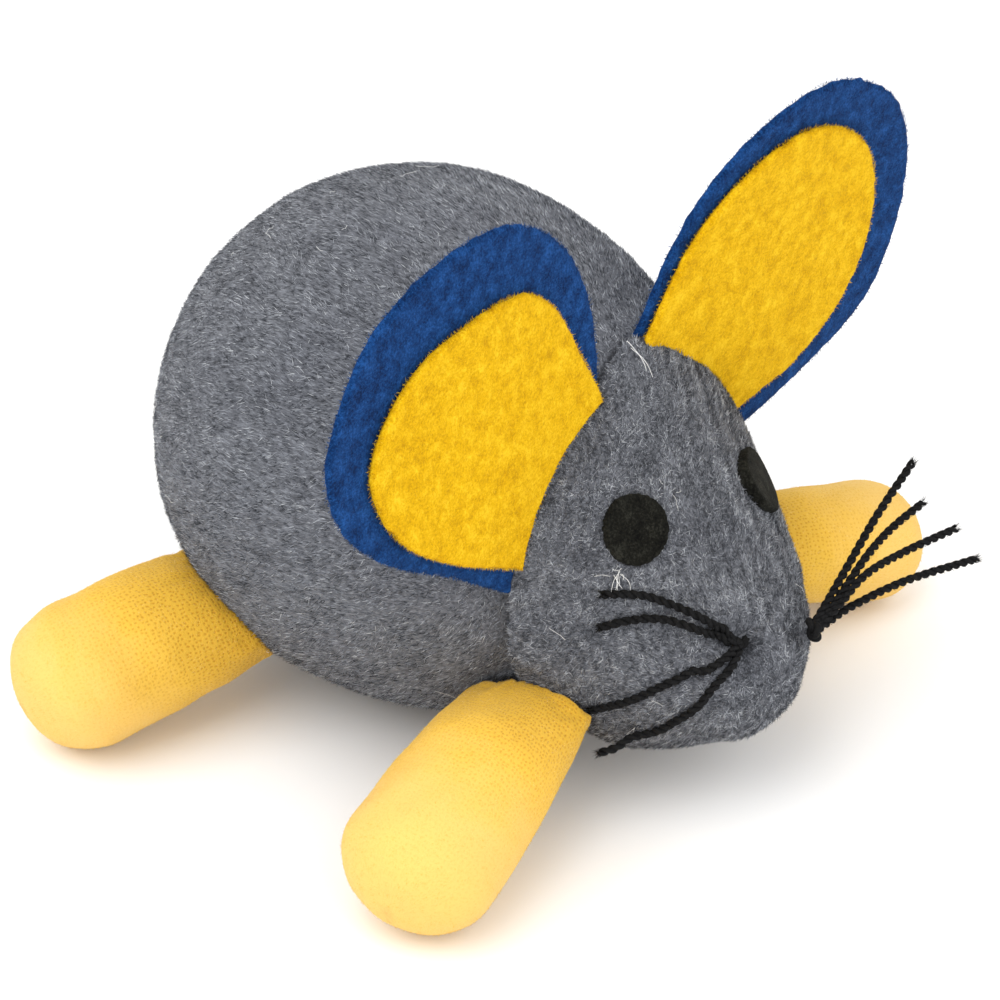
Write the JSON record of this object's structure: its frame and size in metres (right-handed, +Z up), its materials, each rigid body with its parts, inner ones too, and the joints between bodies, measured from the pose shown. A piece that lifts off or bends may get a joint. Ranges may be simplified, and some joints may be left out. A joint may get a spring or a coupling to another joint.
{
  "type": "clockwork mouse",
  "caption": "Plush mouse cat toy with a round grey body, splayed yellow legs, large felt ears and thread whiskers, shaken from inside by a pull-cord clockwork movement.",
  "frame": {"origin": "middle of the bounding box, on the ground", "axes": "+X the way the mouse faces, +Y its left side, +Z up; the belly rests on Z = 0"},
  "size_m": [0.1144, 0.1187, 0.0948],
  "materials": {
    "plush": "short brushed pile",
    "yellow_knit": "soft ribbed knit velour",
    "blue_felt": "dense pressed felt",
    "yellow_felt": "mottled pressed felt",
    "black_felt": "pressed felt",
    "black_thread": "twisted thread, fluffed ends",
    "polyester_fill": "loose white fibre",
    "nickel": "bright nickel plate",
    "steel": "ground steel",
    "brass": "machined brass",
    "white_plastic": "moulded acetal",
    "grey_plastic": "moulded nylon"
  },
  "bodies": {
    "mouse_body": {"body_cover": "plush", "belly_panel": "plush", "body_stuffing": "polyester_fill", "head_cover": "plush", "head_stuffing": "polyester_fill", "right_eye": "black_felt", "left_eye": "black_felt", "right_whisker_1": "black_thread", "right_whisker_2": "black_thread", "right_whisker_3": "black_thread", "right_whisker_4": "black_thread", "left_whisker_1": "black_thread", "left_whisker_2": "black_thread", "left_whisker_3": "black_thread", "left_whisker_4": "black_thread", "cord_eyelet": "nickel", "movement_case_base": "white_plastic", "movement_case_lid": "white_plastic", "case_screw_1": "steel", "case_screw_2": "steel", "case_screw_3": "steel", "case_screw_4": "steel", "cord_bush": "grey_plastic", "spring_arbor": "steel", "idler_axle": "steel", "rotor_axle": "steel"},
    "right_ear": {"right_ear_outer": "blue_felt", "right_ear_inner": "yellow_felt"},
    "left_ear": {"left_ear_outer": "blue_felt", "left_ear_inner": "yellow_felt"},
    "front_right_leg": {"front_right_leg_cover": "yellow_knit", "front_right_leg_stuffing": "polyester_fill"},
    "front_left_leg": {"front_left_leg_cover": "yellow_knit", "front_left_leg_stuffing": "polyester_fill"},
    "rear_right_leg": {"rear_right_leg_cover": "yellow_knit", "rear_right_leg_stuffing": "polyester_fill"},
    "rear_left_leg": {"rear_left_leg_cover": "yellow_knit", "rear_left_leg_stuffing": "polyester_fill"},
    "drum": {"spring_drum": "grey_plastic", "drum_cap": "steel", "mainspring": "steel"},
    "idler": {"idler_gear": "white_plastic"},
    "rotor": {"weight_rotor": "white_plastic", "eccentric_weight": "brass"}
  },
  "joints": [
    {"name": "right_ear_flap", "type": "hinge", "parent": "mouse_body", "child": "right_ear", "pos_m": [0.0173, -0.01971, 0.0522], "axis": [0, 0.6691, 0.7431], "range_deg": [-28, 8], "stiffness_Nm_per_rad": 0.003},
    {"name": "left_ear_flap", "type": "hinge", "parent": "mouse_body", "child": "left_ear", "pos_m": [0.0173, 0.01966, 0.05187], "axis": [0, 0.682, -0.7314], "range_deg": [-40, 12], "stiffness_Nm_per_rad": 0.003},
    {"name": "front_right_leg_lift", "type": "hinge", "parent": "mouse_body", "child": "front_right_leg", "pos_m": [0.0191, -0.0311, 0.0275], "axis": [-0.9982, -0.0606, 0], "range_deg": [0, 24], "stiffness_Nm_per_rad": 0.01},
    {"name": "front_left_leg_lift", "type": "hinge", "parent": "mouse_body", "child": "front_left_leg", "pos_m": [0.0207, 0.0307, 0.0275], "axis": [0.9034, -0.4287, 0], "range_deg": [0, 24], "stiffness_Nm_per_rad": 0.01},
    {"name": "rear_right_leg_lift", "type": "hinge", "parent": "mouse_body", "child": "rear_right_leg", "pos_m": [-0.0334, -0.0337, 0.0224], "axis": [-0.9263, 0.3769, 0], "range_deg": [0, 24], "stiffness_Nm_per_rad": 0.01},
    {"name": "rear_left_leg_lift", "type": "hinge", "parent": "mouse_body", "child": "rear_left_leg", "pos_m": [-0.0334, 0.0347, 0.0224], "axis": [0.9263, 0.3769, 0], "range_deg": [0, 24], "stiffness_Nm_per_rad": 0.01},
    {"name": "drum_turn", "type": "hinge", "parent": "mouse_body", "child": "drum", "pos_m": [-0.0275, -0.00095, 0.0245], "axis": [0, 0, 1], "range_deg": [0, 1260]},
    {"name": "idler_turn", "type": "hinge", "parent": "mouse_body", "child": "idler", "pos_m": [-0.0125, -0.00095, 0.0215], "axis": [0, 0, 1], "range_deg": [-5040, 0]},
    {"name": "rotor_turn", "type": "hinge", "parent": "mouse_body", "child": "rotor", "pos_m": [-0.00594, 0.00686, 0.0265], "axis": [0, 0, 1], "range_deg": [0, 12096]}
  ],
  "couplings": [
    {"joint": "idler_turn", "follows": "drum_turn", "ratio": -4},
    {"joint": "rotor_turn", "follows": "drum_turn", "ratio": 9.6}
  ]
}
